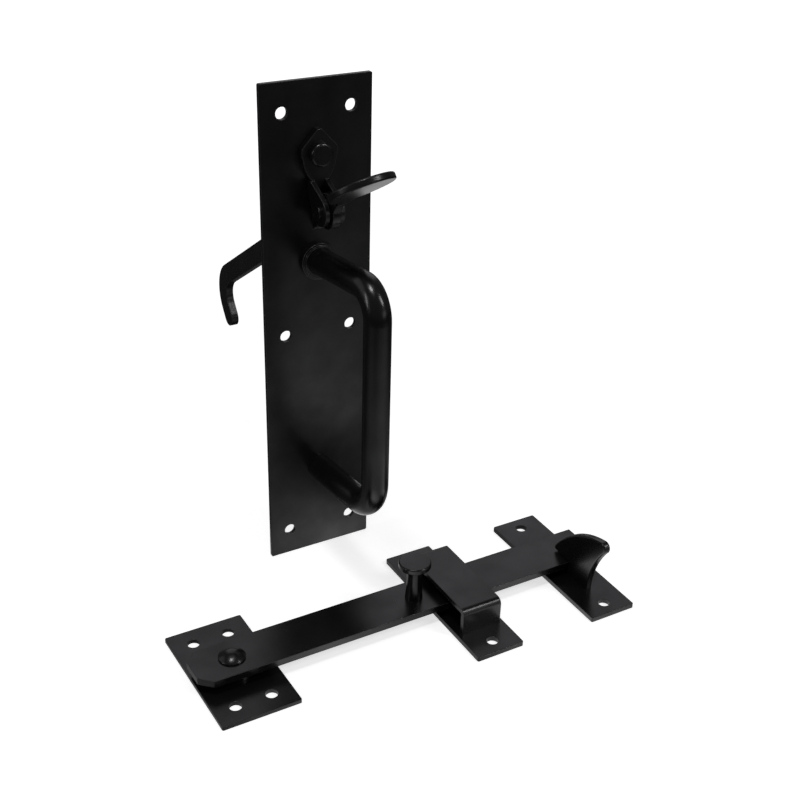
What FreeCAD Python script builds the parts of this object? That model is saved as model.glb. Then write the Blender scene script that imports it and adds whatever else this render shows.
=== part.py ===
import FreeCAD, Part
import math
import os
from FreeCAD import Vector, Placement, Rotation

# Suffolk latch set: the handle side stands upright, the bar side lies flat in front of it.
# Millimetres. +Z is up, the handle side faces -Y, and the origin is the middle of the
# back face of the handle plate. The lower plates lie on the level of that plate's bottom edge.

# Handle plate
PLATE_W = 57.0
PLATE_H = 254.0
PLATE_T = 2.0
PLATE_CORNER_R = 0.8
SCREW_R = 3.0
SCREW_X = 17.6
SCREW_END_IN = 14.3
SCREW_MID_Z = 1.6
SLOT_GAP = 0.4
SLOT_REST_GAP = 0.1
SLOT_SIDE_GAP = 0.6
SLOT_BACK_GAP = 1.6

# Pull handle
ROD_R = 6.6
GRIP_OUT = 60.4
ARM_BELOW_PIVOT = 29.2
ARM_TOP_RISE = 7.0
ARM_LOW_UP = 49.0
ARM_LOW_RISE = 5.8
BEND_TOP_R = 13.0
BEND_LOW_R = 19.0
COLLAR_R = 9.3
COLLAR_T = 3.6
COLLAR_STEP_R = 8.2
COLLAR_STEP_T = 1.3

# Lever bracket
RIVET_DOWN = 34.2
RIVET_HEAD_R = 5.7
RIVET_HEAD_T = 3.6
RIVET_EDGE_R = 1.2
RIVET_SHANK_R = 2.5
BRACKET_T = 3.0
LEAF_TIP_UP = 11.5
LEAF_TIP_HALF_W = 1.0
LEAF_HALF_W = 8.7
LEAF_SIDE_UP = 3.2
LEAF_SIDE_L = 5.0
LEAF_SIDE_BULGE = 0.6
LEAF_HOLLOW_W = 6.3
LEAF_HOLLOW_DOWN = 9.6
WAIST_DOWN = 12.8
WAIST_HALF_W = 4.3
FLARE_DOWN = 17.5
FOOT_DOWN = 19.0
EAR_GAP = 5.6
EAR_T = 2.2
EAR_R = 7.0

# Thumb lever
PIVOT_OUT = 12.0
PIVOT_DOWN = 24.8
PIN_R = 2.0
PIN_RUN = 0.05
PIN_HEAD_R = 3.0
PIN_HEAD_T = 1.3
PIN_EDGE_R = 0.5
LEVER_T = 4.0
LEVER_LIFT = 14.0
HUB_R = 8.6
TAIL_H = 10.6
TAIL_RISE = 1.4
TAIL_SLOPE = 33.4
TAIL_STRAIGHT = 147.0
HOOK_R = 15.0
HOOK_TURN = 92.0
HOOK_END = 6.5
DISC_R = 16.3
DISC_T = 3.4
DISC_EDGE_R = 0.9
DISC_PITCH = 33.0
DISC_ROLL = 7.5
DISC_OUT = 31.5
DISC_UP = 21.5
TANG_W = 11.0
TANG_END_W = 5.0
TANG_L = 8.0
NECK_T = 2.8
NECK_IN = 6.0
NECK_HOLLOW = 0.7
NECK_TURN = 78.0

# Level that the lower plates lie on
FLOOR_Z = -PLATE_H / 2

# Pivot plate with its riveted bar
PIVOT_PLATE_W = 39.5
PIVOT_PLATE_L = 71.3
PIVOT_PLATE_T = 2.0
PIVOT_PLATE_X = -84.3
PIVOT_PLATE_Y = -77.9
PIVOT_SCREW_DX = 18.0
PIVOT_SCREW_DY = 50.7
BAR_PIVOT_DX = -0.2
BAR_PIVOT_DY = -1.6
BAR_L = 224.0
BAR_HEEL = 20.0
BAR_W = 25.0
BAR_T = 3.5
BAR_UNDER = 6.5
BAR_CHAMFER = 6.0
RUN_GAP = 0.1
SPACER_R = 10.0
BAR_RIVET_R = 4.0
BAR_RIVET_HEAD_R = 6.5
BAR_RIVET_HEAD_T = 3.2
BAR_RIVET_RIM_T = 0.7

# Knob on the bar
KNOB_TO_STRAP = 22.25
KNOB_H = 22.0
KNOB_HEAD_R = 8.2
KNOB_HEAD_T = 3.0
KNOB_EDGE_R = 0.7
KNOB_FOOT_R = 4.5
KNOB_NECK_R = 3.8
KNOB_NECK_UP = 13.0
KNOB_HALF_UP = 6.5
KNOB_HALF_R = 4.0
KNOB_THROAT_R = 4.4
KNOB_TENON_R = 3.0

# Keeper plate and strap
LONG_PLATE_W = 26.5
LONG_PLATE_L = 92.5
LONG_PLATE_T = 2.5
LONG_SCREW_IN = 8.0
KEEPER_TO_CATCH = 67.5
KEEPER_OUT = 2.25
STRAP_DX = 0.5
STRAP_W = 22.0
STRAP_L = 54.5
STRAP_T = 2.5
STRAP_TOP = 16.4
STRAP_BEND_R = 3.2

# Catch plate and hook
CATCH_IN = 16.25
CATCH_OUT = 3.75
FIN_T = 4.0
FIN_EDGE_R = 0.8
FIN_BACK_GAP = 0.6
FIN_LIP_GAP = 0.5
FIN_FOOT_L = 15.5
FIN_LIP_R = 0.7
FIN_LIP_OUT = -0.5
FIN_LIP_UP = 12.8
FIN_RAMP_OUT = 17.0
FIN_RAMP_UP = 30.0
FIN_TIP_OUT = 36.0
FIN_TIP_UP = 37.0
FIN_NOSE_OUT = 39.3
FIN_NOSE_UP = 31.8
FIN_NOSE_BULGE = 2.0
FIN_WAIST_OUT = 31.3
FIN_WAIST_UP = 17.0

# Places that follow from the sizes above
OVER = 1.0
X_AXIS = Vector(1, 0, 0)
Y_AXIS = Vector(0, 1, 0)
Z_AXIS = Vector(0, 0, 1)
FRONT_Y = -PLATE_T
SCREW_TOP_Z = PLATE_H / 2 - SCREW_END_IN
RIVET_Z = PLATE_H / 2 - RIVET_DOWN
WAIST_Z = RIVET_Z - WAIST_DOWN
PIVOT_Y = FRONT_Y - PIVOT_OUT
PIVOT_Z = RIVET_Z - PIVOT_DOWN
ARM_TOP_Z = PIVOT_Z - ARM_BELOW_PIVOT
ARM_LOW_Z = FLOOR_Z + ARM_LOW_UP
BAR_PIVOT_X = PIVOT_PLATE_X + BAR_PIVOT_DX
BAR_Y = PIVOT_PLATE_Y + BAR_PIVOT_DY
BAR_HEEL_X = BAR_PIVOT_X - BAR_HEEL
BAR_LOW_Z = FLOOR_Z + BAR_UNDER
BAR_TOP_Z = BAR_LOW_Z + BAR_T
CATCH_X = BAR_HEEL_X + BAR_L - CATCH_IN
CATCH_Y = BAR_Y - CATCH_OUT
KEEPER_X = CATCH_X - KEEPER_TO_CATCH
KEEPER_Y = BAR_Y - KEEPER_OUT
STRAP_X = KEEPER_X + STRAP_DX
KNOB_X = STRAP_X - KNOB_TO_STRAP


def face_of(edges):
    return Part.Face(Part.Wire(edges))


def polygon(points):
    return Part.Face(Part.makePolygon(points + [points[0]]))


def rod(radius, length, base, axis):
    return Part.makeCylinder(radius, length, base, axis)


def arc(start, middle, end):
    return Part.Arc(start, middle, end).toShape()


def line(start, end):
    return Part.makeLine(start, end)


def centred_box(size_x, size_y, size_z, x, y, low_z):
    return Part.makeBox(size_x, size_y, size_z, Vector(x - size_x / 2, y - size_y / 2, low_z))


def edges_along(shape, axis):
    return [e for e in shape.Edges if abs(abs(e.tangentAt(e.FirstParameter).dot(axis)) - 1) < 1e-6
            and isinstance(e.Curve, Part.Line)]


def make_handle_plate():
    low = Vector(-PLATE_W / 2, FRONT_Y, -PLATE_H / 2)
    plate = Part.makeBox(PLATE_W, PLATE_T, PLATE_H, low)
    plate = plate.makeFillet(PLATE_CORNER_R, edges_along(plate, Y_AXIS))
    for x in (-SCREW_X, SCREW_X):
        for z in (SCREW_TOP_Z, SCREW_MID_Z, -SCREW_TOP_Z):
            plate = plate.cut(rod(SCREW_R, PLATE_T + 2 * OVER, Vector(x, FRONT_Y - OVER, z), Y_AXIS))
    rivet_base = Vector(0, FRONT_Y - OVER, RIVET_Z)
    plate = plate.cut(rod(RIVET_SHANK_R, PLATE_T + 2 * OVER, rivet_base, Y_AXIS))
    return plate.cut(make_slot())


def tail_level(lift, y, side):
    # Height of the lever tail's upper or under edge at one depth, for a given lift in degrees
    slope = math.radians(TAIL_SLOPE - lift)
    return PIVOT_Z + (TAIL_RISE + side * TAIL_H / 2) / math.cos(slope) - (y - PIVOT_Y) * math.tan(slope)


def make_slot():
    # Room for the tail's thickness and full lift; the lower edge is filed back so the tail slopes clear
    top = tail_level(LEVER_LIFT, FRONT_Y, 1) + SLOT_GAP
    low_front = tail_level(0, FRONT_Y, -1) - SLOT_REST_GAP
    low_back = tail_level(0, 0, -1) - SLOT_BACK_GAP
    fall = (low_front - low_back) / PLATE_T * OVER
    wide = LEVER_T + 2 * SLOT_SIDE_GAP
    ahead = FRONT_Y - OVER
    corners = [(ahead, top), (OVER, top), (OVER, low_back - fall), (ahead, low_front + fall)]
    side = polygon([Vector(-wide / 2, y, z) for y, z in corners])
    return side.extrude(Vector(wide, 0, 0))


def bend(before, corner, after, radius):
    # Start, middle and end of the round bend that joins two straight runs
    back = (before - corner).normalize()
    on = (after - corner).normalize()
    half = back.getAngle(on) / 2
    centre = corner + (back + on).normalize() * (radius / math.sin(half))
    run = radius / math.tan(half)
    middle = centre + (corner - centre).normalize() * radius
    return corner + back * run, middle, corner + on * run


def make_pull_handle():
    # Bent rod: both arms rise a little on their way out, the grip between them stands upright
    grip_y = FRONT_Y - GRIP_OUT
    rise_top = math.tan(math.radians(ARM_TOP_RISE))
    rise_low = math.tan(math.radians(ARM_LOW_RISE))
    sunk = ROD_R
    top = Vector(0, FRONT_Y + sunk, ARM_TOP_Z - sunk * rise_top)
    low = Vector(0, FRONT_Y + sunk, ARM_LOW_Z - sunk * rise_low)
    upper = Vector(0, grip_y, ARM_TOP_Z + GRIP_OUT * rise_top)
    lower = Vector(0, grip_y, ARM_LOW_Z + GRIP_OUT * rise_low)
    a, b, c = bend(top, upper, lower, BEND_TOP_R)
    d, e, f = bend(upper, lower, low, BEND_LOW_R)
    path = Part.Wire([line(top, a), arc(a, b, c), line(c, d), arc(d, e, f), line(f, low)])
    ring = Part.Wire([Part.makeCircle(ROD_R, top, a - top)])
    handle = path.makePipeShell([ring], True, False)
    reach = ARM_TOP_Z - ARM_LOW_Z + 4 * ROD_R
    behind = Part.makeBox(4 * ROD_R, 4 * ROD_R, reach, Vector(-2 * ROD_R, FRONT_Y, ARM_LOW_Z - 2 * ROD_R))
    return handle.cut(behind)


def make_handle_collar():
    # Stepped ring round the upper foot of the pull handle
    base = Vector(0, FRONT_Y, ARM_TOP_Z)
    out = -Y_AXIS
    ring = rod(COLLAR_R, COLLAR_T - COLLAR_STEP_T, base, out)
    ring = ring.fuse(rod(COLLAR_STEP_R, COLLAR_T, base, out)).removeSplitter()
    return ring.cut(make_pull_handle())


def make_lever_bracket():
    # One cast piece: leaf riveted flat to the plate, narrow waist, two ears that reach forward and down
    def at(x, z):
        return Vector(x, FRONT_Y, z)
    ear_half = EAR_GAP / 2 + EAR_T
    side_z = RIVET_Z + LEAF_SIDE_UP
    side = []
    for s in (1, -1):
        tip = at(s * LEAF_TIP_HALF_W, RIVET_Z + LEAF_TIP_UP)
        wide_up = at(s * LEAF_HALF_W, side_z)
        wide_mid = at(s * (LEAF_HALF_W + LEAF_SIDE_BULGE), side_z - LEAF_SIDE_L / 2)
        wide_low = at(s * LEAF_HALF_W, side_z - LEAF_SIDE_L)
        hollow = at(s * LEAF_HOLLOW_W, RIVET_Z - LEAF_HOLLOW_DOWN)
        waist = at(s * WAIST_HALF_W, WAIST_Z)
        flare = at(s * ear_half, RIVET_Z - FLARE_DOWN)
        foot = at(s * ear_half, RIVET_Z - FOOT_DOWN)
        side.append([line(tip, wide_up), arc(wide_up, wide_mid, wide_low), arc(wide_low, hollow, waist),
                     line(waist, flare), line(flare, foot)])
    top = line(side[0][0].Vertexes[0].Point, side[1][0].Vertexes[0].Point)
    low = line(side[0][-1].Vertexes[-1].Point, side[1][-1].Vertexes[-1].Point)
    outline = Part.Wire(Part.__sortEdges__(side[0] + side[1] + [top, low]))
    bracket = Part.Face(outline).extrude(Vector(0, -BRACKET_T, 0))
    for x in (EAR_GAP / 2, -ear_half):
        bracket = bracket.fuse(make_ear(x))
    bracket = bracket.removeSplitter()
    rivet_base = Vector(0, FRONT_Y + OVER, RIVET_Z)
    bracket = bracket.cut(rod(RIVET_SHANK_R, BRACKET_T + 2 * OVER, rivet_base, -Y_AXIS))
    pin_way = 2 * (ear_half + OVER)
    return bracket.cut(rod(PIN_R, pin_way, Vector(-pin_way / 2, PIVOT_Y, PIVOT_Z), X_AXIS))


def tangent_spot(point, centre, radius, side):
    # Where a line from the point just touches the circle in the plane across X
    reach = point - centre
    angle = math.atan2(reach.z, reach.y) + side * math.acos(radius / reach.Length)
    return centre + Vector(0, math.cos(angle), math.sin(angle)) * radius


def make_ear(x):
    # Cranked arm from the waist down to a round nose about the pin
    pin = Vector(x, PIVOT_Y, PIVOT_Z)
    shoulder = Vector(x, FRONT_Y - BRACKET_T, WAIST_Z)
    root = Vector(x, FRONT_Y, WAIST_Z)
    foot = Vector(x, FRONT_Y, RIVET_Z - FOOT_DOWN)
    upper = tangent_spot(shoulder, pin, EAR_R, 1)
    under = tangent_spot(foot, pin, EAR_R, -1)
    nose = pin - Vector(0, EAR_R, 0)
    edges = [line(foot, root), line(root, shoulder), line(shoulder, upper), arc(upper, nose, under),
             line(under, foot)]
    return face_of(edges).extrude(Vector(EAR_T, 0, 0))


def make_bracket_rivet():
    face_y = FRONT_Y - BRACKET_T
    head = rod(RIVET_HEAD_R, RIVET_HEAD_T, Vector(0, face_y, RIVET_Z), -Y_AXIS)
    rim = [e for e in head.Edges if abs(e.CenterOfMass.y - (face_y - RIVET_HEAD_T)) < 1e-6]
    head = head.makeFillet(RIVET_EDGE_R, rim)
    shank = rod(RIVET_SHANK_R, -face_y, Vector(0, face_y, RIVET_Z), Y_AXIS)
    return head.fuse(shank).removeSplitter()


def make_lever_pin():
    reach = EAR_GAP / 2 + EAR_T
    pin = rod(PIN_R, 2 * reach, Vector(-reach, PIVOT_Y, PIVOT_Z), X_AXIS)
    for s in (1, -1):
        head = rod(PIN_HEAD_R, PIN_HEAD_T, Vector(s * reach, PIVOT_Y, PIVOT_Z), Vector(s, 0, 0))
        rim = [e for e in head.Edges if abs(e.CenterOfMass.x - s * (reach + PIN_HEAD_T)) < 1e-6]
        pin = pin.fuse(head.makeFillet(PIN_EDGE_R, rim))
    return pin.removeSplitter()


def make_lever_bar():
    # Flat bar on edge: hub on the pin, sloping tail with a hooked end, short neck to the thumb disc
    slope = math.radians(TAIL_SLOPE)
    along = Vector(0, math.cos(slope), -math.sin(slope))
    up = Vector(0, math.sin(slope), math.cos(slope))
    side = Vector(-LEVER_T / 2, 0, 0)
    pivot = Vector(0, PIVOT_Y, PIVOT_Z) + side
    wide = Vector(LEVER_T, 0, 0)
    half = TAIL_H / 2
    start = pivot + up * TAIL_RISE
    end = start + along * TAIL_STRAIGHT
    tail = polygon([start + up * half, end + up * half, end - up * half, start - up * half]).extrude(wide)
    centre = end - up * HOOK_R
    lever = rod(HUB_R, LEVER_T, pivot, X_AXIS).fuse(tail)
    lever = lever.fuse(make_hook_bend(centre, up, wide))
    turn = Rotation(X_AXIS, -HOOK_TURN)
    out = turn.multVec(up)
    back = turn.multVec(along)
    bend_end = centre + out * HOOK_R
    tip = bend_end + back * HOOK_END
    lever = lever.fuse(polygon([bend_end + out * half, tip + out * half,
                                tip - out * half, bend_end - out * half]).extrude(wide))
    lever = lever.fuse(rod(half, LEVER_T, tip, X_AXIS))
    lever = lever.fuse(make_neck(pivot, wide)).removeSplitter()
    lever = lever.cut(make_thumb_disc())
    return lever.cut(rod(PIN_R + PIN_RUN, LEVER_T, pivot, X_AXIS))


def make_hook_bend(centre, up, wide):
    half = TAIL_H / 2

    def spot(radius, share):
        return centre + Rotation(X_AXIS, -HOOK_TURN * share).multVec(up) * radius
    outer = HOOK_R + half
    inner = HOOK_R - half
    edges = [arc(spot(outer, 0), spot(outer, 0.5), spot(outer, 1)), line(spot(outer, 1), spot(inner, 1)),
             arc(spot(inner, 1), spot(inner, 0.5), spot(inner, 0)), line(spot(inner, 0), spot(outer, 0))]
    return face_of(edges).extrude(wide)


def make_neck(pivot, wide):
    # Short neck that carries the disc's tang on from the hub
    pitch = math.radians(DISC_PITCH)
    along = Vector(0, -math.cos(pitch), math.sin(pitch))
    up = Vector(0, math.sin(pitch), math.cos(pitch))
    end = pivot + Vector(0, -DISC_OUT, DISC_UP) - along * (DISC_R + TANG_L - NECK_IN)
    turn = math.radians(NECK_TURN)
    hub_top = pivot + Vector(0, 0, HUB_R)
    hub_low = pivot + Vector(0, -math.sin(turn), math.cos(turn)) * HUB_R
    end_top = end + up * (NECK_T / 2)
    end_low = end - up * (NECK_T / 2)
    hollow = (end_low + hub_low) * 0.5 + up * NECK_HOLLOW
    edges = [line(hub_top, end_top), line(end_top, end_low), arc(end_low, hollow, hub_low),
             line(hub_low, pivot), line(pivot, hub_top)]
    return face_of(edges).extrude(wide)


def make_thumb_disc():
    # Round disc with a short tapered tang towards the hub
    disc = Part.makeCylinder(DISC_R, DISC_T, Vector(0, 0, -DISC_T / 2), Z_AXIS)
    low = -DISC_T / 2
    root = math.sqrt(DISC_R ** 2 - (TANG_W / 2) ** 2)
    end = DISC_R + TANG_L
    tang = polygon([Vector(-TANG_W / 2, root, low), Vector(TANG_W / 2, root, low),
                    Vector(TANG_END_W / 2, end, low), Vector(-TANG_END_W / 2, end, low)])
    disc = disc.fuse(tang.extrude(Vector(0, 0, DISC_T))).removeSplitter()
    rims = [e for e in disc.Edges if e.BoundBox.ZLength < 1e-6]
    disc = disc.makeFillet(DISC_EDGE_R, rims)
    # Twist about its own long line first, then tip its outer end up
    turn = Rotation(X_AXIS, -DISC_PITCH).multiply(Rotation(Y_AXIS, -DISC_ROLL))
    disc.Placement = Placement(Vector(0, PIVOT_Y - DISC_OUT, PIVOT_Z + DISC_UP), turn)
    return disc


def make_pivot_plate():
    plate = centred_box(PIVOT_PLATE_W, PIVOT_PLATE_L, PIVOT_PLATE_T, PIVOT_PLATE_X, PIVOT_PLATE_Y, FLOOR_Z)
    plate = plate.makeFillet(PLATE_CORNER_R, edges_along(plate, Z_AXIS))
    for sx in (-0.5, 0.5):
        for sy in (-0.5, 0.5):
            x = PIVOT_PLATE_X + sx * PIVOT_SCREW_DX
            y = PIVOT_PLATE_Y + sy * PIVOT_SCREW_DY
            plate = plate.cut(rod(SCREW_R, PIVOT_PLATE_T, Vector(x, y, FLOOR_Z), Z_AXIS))
    return plate.cut(rod(BAR_RIVET_R, PIVOT_PLATE_T, Vector(BAR_PIVOT_X, BAR_Y, FLOOR_Z), Z_AXIS))


def make_pivot_spacer():
    low = FLOOR_Z + PIVOT_PLATE_T
    height = BAR_LOW_Z - RUN_GAP - low
    base = Vector(BAR_PIVOT_X, BAR_Y, low)
    return rod(SPACER_R, height, base, Z_AXIS).cut(rod(BAR_RIVET_R, height, base, Z_AXIS))


def make_pivot_rivet():
    # Shank through spacer and plate, thin rim and a low domed head
    base = Vector(BAR_PIVOT_X, BAR_Y, FLOOR_Z)
    head = Vector(BAR_PIVOT_X, BAR_Y, BAR_TOP_Z + RUN_GAP)
    rim = rod(BAR_RIVET_HEAD_R, BAR_RIVET_RIM_T, head, Z_AXIS)
    dome_h = BAR_RIVET_HEAD_T - BAR_RIVET_RIM_T
    dome_r = (BAR_RIVET_HEAD_R ** 2 + dome_h ** 2) / (2 * dome_h)
    centre = head + Z_AXIS * (BAR_RIVET_HEAD_T - dome_r)
    start = math.degrees(math.asin((dome_r - dome_h) / dome_r))
    dome = Part.makeSphere(dome_r, centre, Z_AXIS, start, 90, 360)
    shank = rod(BAR_RIVET_R, head.z - FLOOR_Z, base, Z_AXIS)
    return shank.fuse(rim).fuse(dome).removeSplitter()


def make_latch_bar():
    bar = Part.makeBox(BAR_L, BAR_W, BAR_T, Vector(BAR_HEEL_X, BAR_Y - BAR_W / 2, BAR_LOW_Z))
    ends = [e for e in edges_along(bar, Z_AXIS) if e.CenterOfMass.x < BAR_HEEL_X + OVER]
    bar = bar.makeChamfer(BAR_CHAMFER, ends)
    bar = bar.cut(rod(BAR_RIVET_R + PIN_RUN, BAR_T, Vector(BAR_PIVOT_X, BAR_Y, BAR_LOW_Z), Z_AXIS))
    return bar.cut(rod(KNOB_TENON_R, BAR_T, Vector(KNOB_X, BAR_Y, BAR_LOW_Z), Z_AXIS))


def make_bar_knob():
    # Turned knob: tenon through the bar, hollow stem, flat round head
    def at(r, up):
        return Vector(KNOB_X + r, BAR_Y, BAR_TOP_Z + up)
    under = KNOB_H - KNOB_HEAD_T
    stem = Part.BSplineCurve()
    stem.interpolate([at(KNOB_FOOT_R, 0), at(KNOB_HALF_R, KNOB_HALF_UP),
                      at(KNOB_NECK_R, KNOB_NECK_UP), at(KNOB_THROAT_R, under)])
    tenon = [at(0, KNOB_H), at(0, -BAR_T), at(KNOB_TENON_R, -BAR_T), at(KNOB_TENON_R, 0), at(KNOB_FOOT_R, 0)]
    head = [at(KNOB_THROAT_R, under), at(KNOB_HEAD_R, under), at(KNOB_HEAD_R, KNOB_H), at(0, KNOB_H)]
    outline = Part.Wire(Part.makePolygon(tenon).Edges + [stem.toShape()] + Part.makePolygon(head).Edges)
    knob = Part.Face(outline).revolve(at(0, 0), Z_AXIS, 360)
    circles = [e for e in knob.Edges if isinstance(e.Curve, Part.Circle)]
    rims = [e for e in circles if abs(e.Curve.Radius - KNOB_HEAD_R) < 1e-6]
    return knob.makeFillet(KNOB_EDGE_R, rims)


def make_long_plate(x, y):
    plate = centred_box(LONG_PLATE_W, LONG_PLATE_L, LONG_PLATE_T, x, y, FLOOR_Z)
    plate = plate.makeFillet(PLATE_CORNER_R, edges_along(plate, Z_AXIS))
    for s in (-1, 1):
        hole_y = y + s * (LONG_PLATE_L / 2 - LONG_SCREW_IN)
        plate = plate.cut(rod(SCREW_R, LONG_PLATE_T, Vector(x, hole_y, FLOOR_Z), Z_AXIS))
    return plate


def make_keeper_strap():
    # Flat strip bent twice into a staple that the bar slides under
    low = FLOOR_Z + LONG_PLATE_T
    rise = STRAP_TOP - LONG_PLATE_T
    strap = centred_box(STRAP_W, STRAP_L, rise, STRAP_X, KEEPER_Y, low)
    tops = [e for e in edges_along(strap, X_AXIS) if e.CenterOfMass.z > low + rise - OVER]
    strap = strap.makeFillet(STRAP_BEND_R, tops)
    room = centred_box(STRAP_W, STRAP_L - 2 * STRAP_T, rise - STRAP_T, STRAP_X, KEEPER_Y, low)
    tops = [e for e in edges_along(room, X_AXIS) if e.CenterOfMass.z > low + OVER]
    room = room.makeFillet(STRAP_BEND_R - STRAP_T, tops)
    return strap.cut(room)


def make_catch_hook():
    # Upright fin: outer ramp that lifts the bar, lip over the bar, notch behind the lip
    def at(out, up):
        return Vector(CATCH_X - FIN_T / 2, BAR_Y - out, FLOOR_Z + up)
    back = BAR_W / 2 + FIN_BACK_GAP
    roof = BAR_UNDER + BAR_T + FIN_LIP_GAP
    foot = back + FIN_FOOT_L
    lip_under = at(FIN_LIP_OUT + FIN_LIP_R, roof + FIN_LIP_R)
    lip = at(FIN_LIP_OUT, FIN_LIP_UP)
    tip = at(FIN_TIP_OUT, FIN_TIP_UP)
    nose = at(FIN_NOSE_OUT, FIN_NOSE_UP)
    chord = (nose - tip).normalize()
    bulge = (tip + nose) * 0.5 + Vector(0, chord.z, -chord.y) * FIN_NOSE_BULGE
    edges = [line(at(foot, LONG_PLATE_T), at(back, LONG_PLATE_T)),
             line(at(back, LONG_PLATE_T), at(back, roof)),
             line(at(back, roof), lip_under),
             line(lip_under, lip),
             arc(lip, at(FIN_RAMP_OUT, FIN_RAMP_UP), tip),
             arc(tip, bulge, nose),
             arc(nose, at(FIN_WAIST_OUT, FIN_WAIST_UP), at(foot, LONG_PLATE_T))]
    fin = face_of(edges).extrude(Vector(FIN_T, 0, 0))
    long_rims = [e for e in fin.Edges if isinstance(e.Curve, Part.Circle)]
    return fin.makeFillet(FIN_EDGE_R, long_rims)


os.makedirs("parts", exist_ok=True)
pieces = {
    "handle_plate": make_handle_plate(),
    "pull_handle": make_pull_handle(),
    "handle_collar": make_handle_collar(),
    "lever_bracket": make_lever_bracket(),
    "bracket_rivet": make_bracket_rivet(),
    "lever_pin": make_lever_pin(),
    "lever_bar": make_lever_bar(),
    "thumb_disc": make_thumb_disc(),
    "pivot_plate": make_pivot_plate(),
    "pivot_spacer": make_pivot_spacer(),
    "pivot_rivet": make_pivot_rivet(),
    "latch_bar": make_latch_bar(),
    "bar_knob": make_bar_knob(),
    "keeper_plate": make_long_plate(KEEPER_X, KEEPER_Y),
    "keeper_strap": make_keeper_strap(),
    "catch_plate": make_long_plate(CATCH_X, CATCH_Y),
    "catch_hook": make_catch_hook(),
}
for name, shape in pieces.items():
    shape.exportStep("parts/" + name + ".step")
    print(name, shape.ShapeType, len(shape.Solids), shape.isValid(), round(shape.Volume, 1))
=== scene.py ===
import math
import bpy
from mathutils import Matrix, Vector

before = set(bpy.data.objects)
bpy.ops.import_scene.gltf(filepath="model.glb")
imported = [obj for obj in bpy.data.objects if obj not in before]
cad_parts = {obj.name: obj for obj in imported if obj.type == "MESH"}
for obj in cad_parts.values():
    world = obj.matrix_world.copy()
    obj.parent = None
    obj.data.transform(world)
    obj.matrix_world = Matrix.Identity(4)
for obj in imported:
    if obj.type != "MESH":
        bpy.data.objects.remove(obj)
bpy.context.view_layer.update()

# Camera: place in metres, angles in degrees, focus and middle in pixels of the square picture
CAMERA_PLACE = Vector((-0.26462, -0.53917, 0.29169))
CAMERA_TURN = 33.032
CAMERA_DIP = 30.298
CAMERA_ROLL = 3.003
CAMERA_FOCUS_PX = 1327.8
CAMERA_MIDDLE_PX = (455.8, 436.6)
CAMERA_NEAR = 0.01
FRAME_PX = 800
SENSOR_MM = 36.0

# Black coat: tones, drift of tone and sheen, rounding of edges and a painted highlight on them, fine
# peel
COAT_DARK = (0.0034, 0.0034, 0.0035, 1.0)
COAT_LIGHT = (0.0062, 0.0062, 0.0064, 1.0)
DRIFT_SCALE = 55.0
DRIFT_DETAIL = 4.0
DRIFT_RANGE = (0.30, 0.70)
SHEEN_RANGE = (0.39, 0.61)
# The edge tone and its amount paint a highlight along the edges
EDGE_HIGHLIGHT_TONE = (0.120, 0.120, 0.123, 1.0)
EDGE_ROUND = 0.0005
EDGE_SAMPLES = 6
EDGE_HIGHLIGHT_AMOUNT = 0.5
EDGE_MATCH = (0.985, 0.80)
PATCH_SCALE = 60.0
PATCH_DETAIL = 4.0
PEEL_SCALE = 900.0
PEEL_DETAIL = 2.0
PEEL_DEPTH = 0.0002

# Each coat: name, roughness, spread of the roughness, strength of the peel, pieces
COATS = (
    ("plate coat", 0.30, 0.05, 0.10, ("handle_plate", "lever_bracket", "thumb_disc")),
    ("bar coat", 0.26, 0.04, 0.05, ("pivot_plate", "pivot_spacer", "latch_bar", "keeper_plate",
                                    "keeper_strap", "catch_plate", "catch_hook")),
    ("rod coat", 0.24, 0.03, 0.08, ("pull_handle", "handle_collar", "bracket_rivet",
                                    "pivot_rivet", "bar_knob")),
    ("lever coat", 0.24, 0.03, 0.03, ("lever_bar", "lever_pin")),
)

# Floor: what the camera sees, and the pools of light that only reflections see
FLOOR_Z = -0.127
FLOOR_SIZE = 8.0
FLOOR_TONE = (0.85, 0.85, 0.85, 1.0)
FLOOR_RISE = (0.30, 1.20)
FLOOR_LIFT = (0.68, 1.0)
POOLS = (
    ((0.03, -0.20, 0.0), 0.30, 0.52),
    ((0.01, 0.00, 0.0), 0.06, 1.00),
    ((-0.04, -0.11, 0.0), 0.07, 0.90),
    ((0.08, -0.12, 0.0), 0.07, 0.80),
    ((0.26, -0.38, 0.0), 0.25, 0.14),
    ((0.26, 0.24, 0.0), 0.16, 1.30),
    ((-0.22, -0.12, 0.0), 0.20, 0.22),
    ((0.16, 0.42, 0.0), 0.24, 0.90),
)
POOL_REST = 0.03

# Room around the stage
ROOM_WHITE = (1.0, 1.0, 1.0, 1.0)
ROOM_DIM = (0.085, 0.085, 0.085, 1.0)

# Each lamp: name, azimuth in degrees, height, distance, size, power, tint
LAMP_AIM = Vector((0.0, -0.05, -0.05))
WHITE = (1.0, 1.0, 1.0)
COOL = (1.0, 0.985, 1.05)
LAMPS = (
    ("overhead", -132.0, 1.00, 0.255, (0.20, 0.20), 2.4, WHITE),
    ("back card", 28.0, 0.80, 1.40, (1.40, 1.25), 2.75, COOL),
    ("front lamp", 140.0, 0.95, 1.20, (0.17, 0.55), 3.8, WHITE),
    ("front card", 150.0, 0.16, 1.00, (0.50, 0.22), 0.30, WHITE),
    ("left card", -54.0, 0.80, 1.40, (1.10, 1.00), 1.3, WHITE),
    ("top card", 0.0, 1.50, 0.10, (0.80, 0.80), 0.7, WHITE),
    ("left strip", -88.0, 0.35, 1.00, (0.12, 0.50), 1.1, WHITE),
)


def add_node(tree, kind, **values):
    node = tree.nodes.new(kind)
    for name, value in values.items():
        setattr(node, name, value)
    return node


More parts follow.
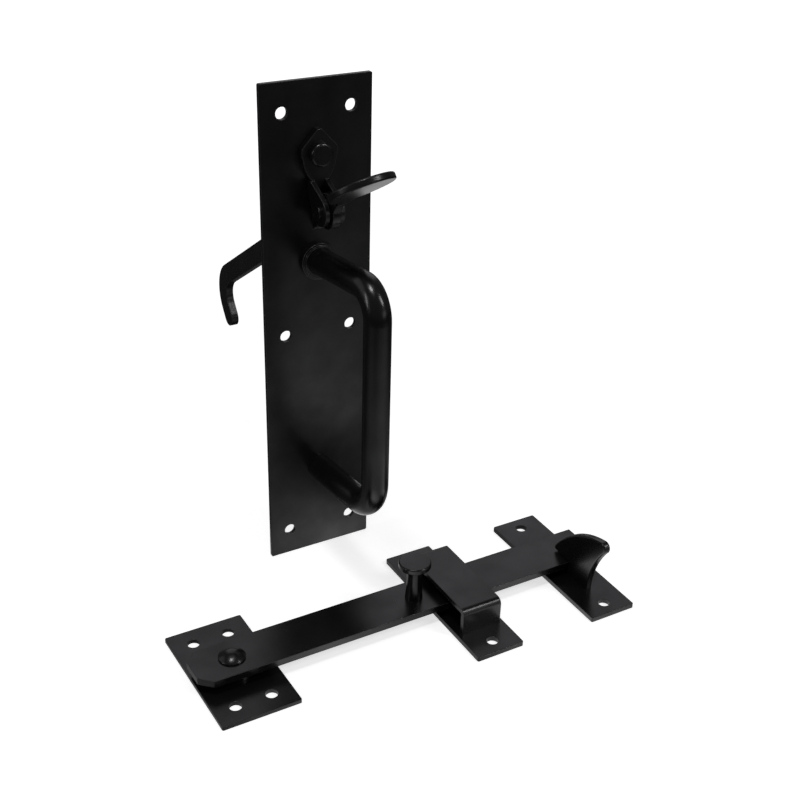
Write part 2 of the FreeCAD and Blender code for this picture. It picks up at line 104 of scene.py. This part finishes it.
def add_noise(tree, place, scale, detail):
    noise = add_node(tree, "ShaderNodeTexNoise")
    noise.inputs["Scale"].default_value = scale
    noise.inputs["Detail"].default_value = detail
    tree.links.new(place.outputs["Object"], noise.inputs["Vector"])
    return noise.outputs["Fac"]


def add_ramp(tree, source, start, end, **values):
    """Carry a value from the range start to the range end."""
    ramp = add_node(tree, "ShaderNodeMapRange", **values)
    ramp.inputs["From Min"].default_value = start[0]
    ramp.inputs["From Max"].default_value = start[1]
    ramp.inputs["To Min"].default_value = end[0]
    ramp.inputs["To Max"].default_value = end[1]
    tree.links.new(source, ramp.inputs["Value"])
    return ramp.outputs["Result"]


def coat_material(name, rough, spread, peel):
    """Black coated steel: faint drift of tone and sheen, uneven gloss, soft edges with a painted
    highlight.
    """
    mat = bpy.data.materials.new(name)
    mat.use_nodes = True
    tree = mat.node_tree
    link = tree.links.new
    shader = tree.nodes["Principled BSDF"]
    place = add_node(tree, "ShaderNodeTexCoord")

    drift = add_noise(tree, place, DRIFT_SCALE, DRIFT_DETAIL)
    tone = add_node(tree, "ShaderNodeMix", data_type="RGBA")
    tone.inputs["A"].default_value = COAT_DARK
    tone.inputs["B"].default_value = COAT_LIGHT
    link(drift, tone.inputs["Factor"])
    link(add_ramp(tree, drift, DRIFT_RANGE, SHEEN_RANGE), shader.inputs["Specular IOR Level"])

    # Painted highlight on the edges: lighter colour where the rounded normal leaves the face normal
    soft = add_node(tree, "ShaderNodeBevel", samples=EDGE_SAMPLES)
    soft.inputs["Radius"].default_value = EDGE_ROUND
    face = add_node(tree, "ShaderNodeNewGeometry")
    match = add_node(tree, "ShaderNodeVectorMath", operation="DOT_PRODUCT")
    link(soft.outputs["Normal"], match.inputs[0])
    link(face.outputs["Normal"], match.inputs[1])
    edge_highlight = add_node(tree, "ShaderNodeMix", data_type="RGBA")
    edge_highlight.inputs["B"].default_value = EDGE_HIGHLIGHT_TONE
    link(add_ramp(tree, match.outputs["Value"], EDGE_MATCH, (0.0, EDGE_HIGHLIGHT_AMOUNT)), edge_highlight.inputs["Factor"])
    link(tone.outputs["Result"], edge_highlight.inputs["A"])
    link(edge_highlight.outputs["Result"], shader.inputs["Base Color"])

    patch = add_noise(tree, place, PATCH_SCALE, PATCH_DETAIL)
    link(add_ramp(tree, patch, (0.0, 1.0), (rough - spread, rough + spread)), shader.inputs["Roughness"])

    relief = add_node(tree, "ShaderNodeBump")
    relief.inputs["Strength"].default_value = peel
    relief.inputs["Distance"].default_value = PEEL_DEPTH
    link(add_noise(tree, place, PEEL_SCALE, PEEL_DETAIL), relief.inputs["Height"])
    link(soft.outputs["Normal"], relief.inputs["Normal"])
    link(relief.outputs["Normal"], shader.inputs["Normal"])
    return mat


def coat_pieces():
    for name, rough, spread, peel, pieces in COATS:
        coat = coat_material(name, rough, spread, peel)
        for piece in pieces:
            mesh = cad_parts[piece].data
            mesh.materials.clear()
            mesh.materials.append(coat)


def pool_light(tree, place):
    """Brightness that reflections see on the floor: the sum of the pools, each fading to its rim."""
    rest = add_node(tree, "ShaderNodeValue")
    rest.outputs["Value"].default_value = POOL_REST
    total = rest.outputs["Value"]
    for centre, radius, strength in POOLS:
        reach = add_node(tree, "ShaderNodeVectorMath", operation="DISTANCE")
        reach.inputs[1].default_value = centre
        tree.links.new(place.outputs["Object"], reach.inputs[0])
        fade = add_ramp(tree, reach.outputs["Value"], (0.0, radius), (strength, 0.0),
                        interpolation_type="SMOOTHSTEP")
        added = add_node(tree, "ShaderNodeMath", operation="ADD")
        tree.links.new(total, added.inputs[0])
        tree.links.new(fade, added.inputs[1])
        total = added.outputs["Value"]
    return total


def floor_material():
    """Pale floor: near white with a soft shadow to the camera, pools of light to reflections."""
    mat = bpy.data.materials.new("pale floor")
    mat.use_nodes = True
    tree = mat.node_tree
    link = tree.links.new
    tree.nodes.clear()
    out = add_node(tree, "ShaderNodeOutputMaterial")
    path = add_node(tree, "ShaderNodeLightPath")
    place = add_node(tree, "ShaderNodeTexCoord")
    matt = add_node(tree, "ShaderNodeBsdfDiffuse")
    matt.inputs["Color"].default_value = FLOOR_TONE

    away = add_node(tree, "ShaderNodeVectorMath", operation="LENGTH")
    link(place.outputs["Object"], away.inputs[0])
    lift = add_node(tree, "ShaderNodeEmission")
    link(add_ramp(tree, away.outputs["Value"], FLOOR_RISE, FLOOR_LIFT), lift.inputs["Strength"])
    seen = add_node(tree, "ShaderNodeAddShader")
    link(matt.outputs["BSDF"], seen.inputs[0])
    link(lift.outputs["Emission"], seen.inputs[1])

    pools = add_node(tree, "ShaderNodeEmission")
    link(pool_light(tree, place), pools.inputs["Strength"])
    mirrored = add_node(tree, "ShaderNodeMixShader")
    link(path.outputs["Is Glossy Ray"], mirrored.inputs["Fac"])
    link(matt.outputs["BSDF"], mirrored.inputs[1])
    link(pools.outputs["Emission"], mirrored.inputs[2])

    mix = add_node(tree, "ShaderNodeMixShader")
    link(path.outputs["Is Camera Ray"], mix.inputs["Fac"])
    link(mirrored.outputs["Shader"], mix.inputs[1])
    link(seen.outputs["Shader"], mix.inputs[2])
    link(mix.outputs["Shader"], out.inputs["Surface"])
    return mat


def lay_floor():
    bpy.ops.mesh.primitive_plane_add(size=FLOOR_SIZE, location=(0.0, 0.0, FLOOR_Z))
    floor = bpy.context.object
    floor.name = "floor"
    floor.data.materials.append(floor_material())
    return floor


def set_room():
    """White to the camera, dim to reflections and to bounced light."""
    world = bpy.data.worlds.new("studio")
    bpy.context.scene.world = world
    world.use_nodes = True
    tree = world.node_tree
    link = tree.links.new
    tree.nodes.clear()
    out = add_node(tree, "ShaderNodeOutputWorld")
    path = add_node(tree, "ShaderNodeLightPath")
    white = add_node(tree, "ShaderNodeBackground")
    white.inputs["Color"].default_value = ROOM_WHITE
    dim = add_node(tree, "ShaderNodeBackground")
    dim.inputs["Color"].default_value = ROOM_DIM
    mix = add_node(tree, "ShaderNodeMixShader")
    link(path.outputs["Is Camera Ray"], mix.inputs["Fac"])
    link(dim.outputs["Background"], mix.inputs[1])
    link(white.outputs["Background"], mix.inputs[2])
    link(mix.outputs["Shader"], out.inputs["Surface"])


def add_lamp(name, azimuth, height, distance, size, power, tint):
    """Area lamp. Azimuth 0 is behind the handle plate, 90 to the right, 180 in front."""
    turn = math.radians(azimuth)
    place = Vector((math.sin(turn) * distance, math.cos(turn) * distance, height))
    lamp = bpy.data.lights.new(name, "AREA")
    lamp.shape = "RECTANGLE"
    lamp.size = size[0]
    lamp.size_y = size[1]
    lamp.energy = power
    lamp.color = tint
    body = bpy.data.objects.new(name, lamp)
    body.location = place
    body.rotation_euler = (place - LAMP_AIM).to_track_quat("Z", "Y").to_euler()
    body.visible_camera = False
    bpy.context.collection.objects.link(body)


def set_camera():
    """Camera of the photo: turned right from the plate's normal, dipped below level, rolled."""
    camera = bpy.data.cameras.new("camera")
    camera.sensor_width = SENSOR_MM
    camera.lens = CAMERA_FOCUS_PX / FRAME_PX * SENSOR_MM
    camera.shift_x = (FRAME_PX / 2 - CAMERA_MIDDLE_PX[0]) / FRAME_PX
    camera.shift_y = (CAMERA_MIDDLE_PX[1] - FRAME_PX / 2) / FRAME_PX
    camera.clip_start = CAMERA_NEAR
    body = bpy.data.objects.new("camera", camera)
    bpy.context.collection.objects.link(body)
    turn = Matrix.Rotation(math.radians(-CAMERA_TURN), 4, "Z")
    tilt = Matrix.Rotation(math.radians(90.0 - CAMERA_DIP), 4, "X")
    roll = Matrix.Rotation(math.radians(CAMERA_ROLL), 4, "Z")
    body.matrix_world = Matrix.Translation(CAMERA_PLACE) @ turn @ tilt @ roll
    bpy.context.scene.camera = body


coat_pieces()
floor = lay_floor()
set_room()
for lamp in LAMPS:
    add_lamp(*lamp)
set_camera()
bpy.context.scene.view_settings.view_transform = "Standard"
